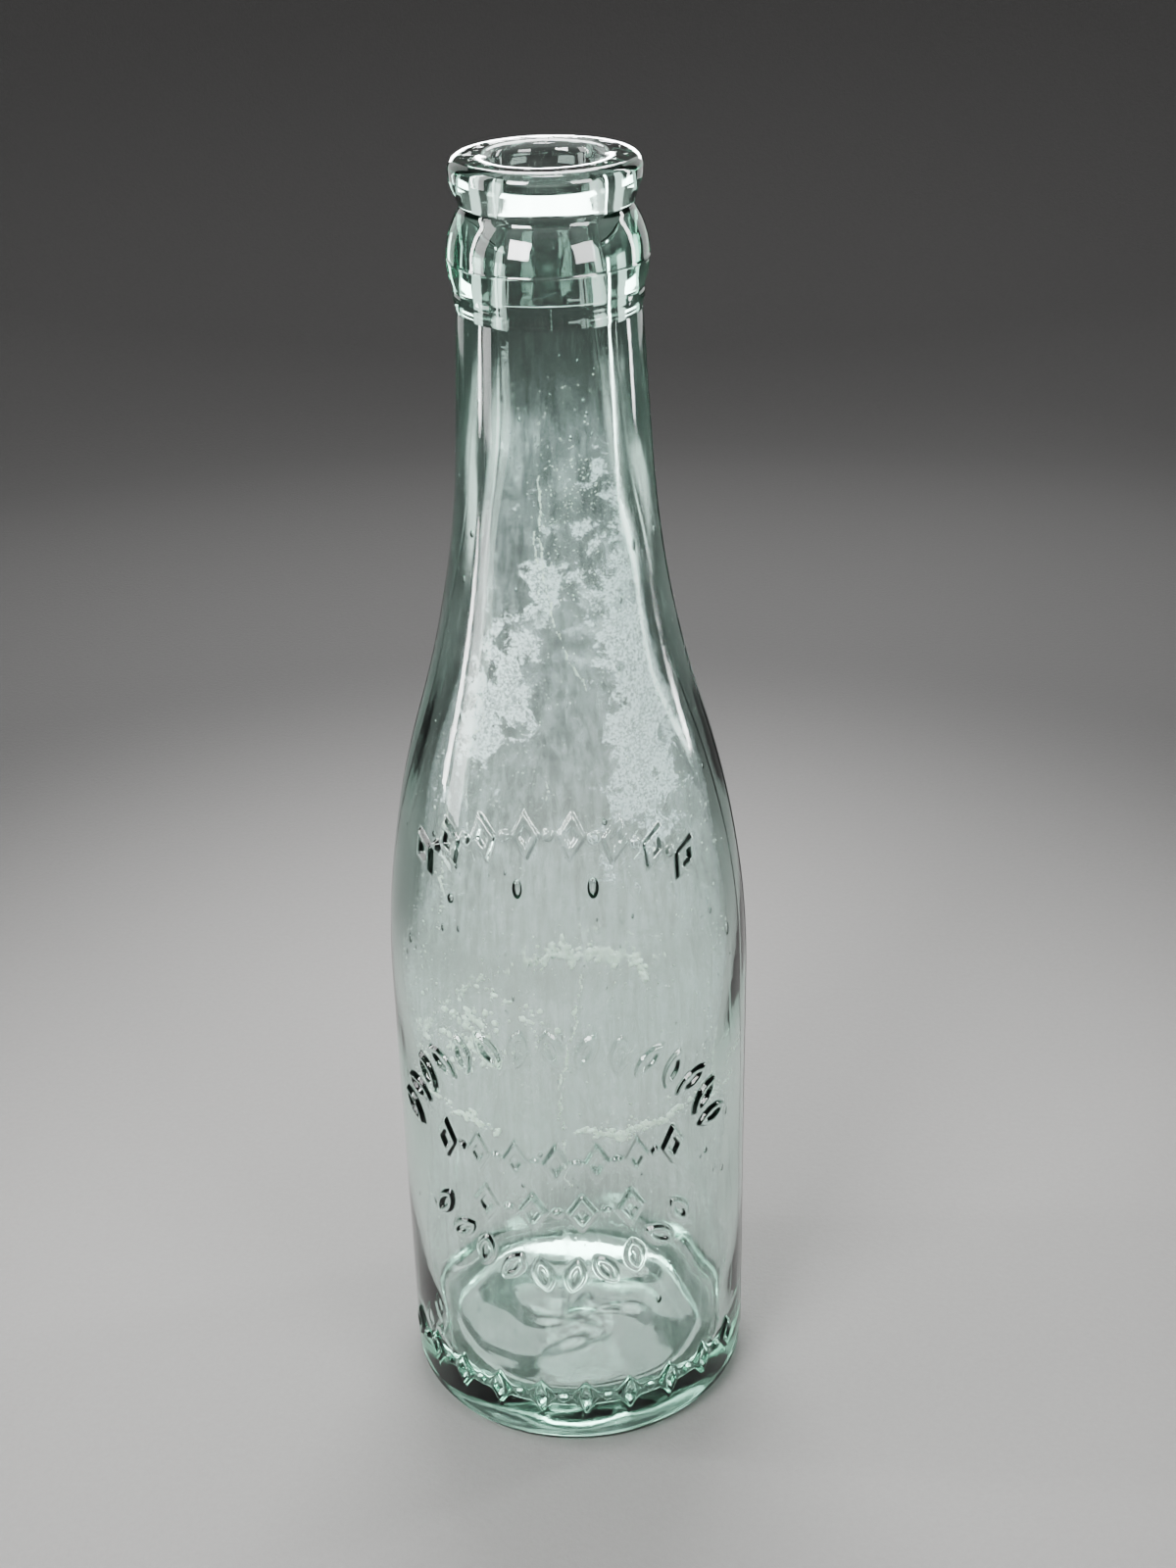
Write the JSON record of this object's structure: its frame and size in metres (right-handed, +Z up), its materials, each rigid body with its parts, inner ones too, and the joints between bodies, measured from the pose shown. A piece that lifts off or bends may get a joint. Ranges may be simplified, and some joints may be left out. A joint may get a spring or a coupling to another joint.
{
  "type": "soda bottle",
  "caption": "Clear aqua glass bottle with a crown finish, long tapering neck, raised ornament and a dried mineral film inside.",
  "frame": {"origin": "centre of the foot ring, on the surface that the bottle stands on", "axes": "+Z up through the mouth; the raised ornament faces -Y"},
  "size_m": [0.0574, 0.058, 0.2078],
  "materials": {
    "glass": "clear aqua glass, fire-polished lip, moulded body",
    "deposit": "thin dried white mineral film"
  },
  "bodies": {
    "root": {"glass_bottle": "glass", "neck_haze": "deposit", "tide_line": "deposit"}
  },
  "joints": []
}
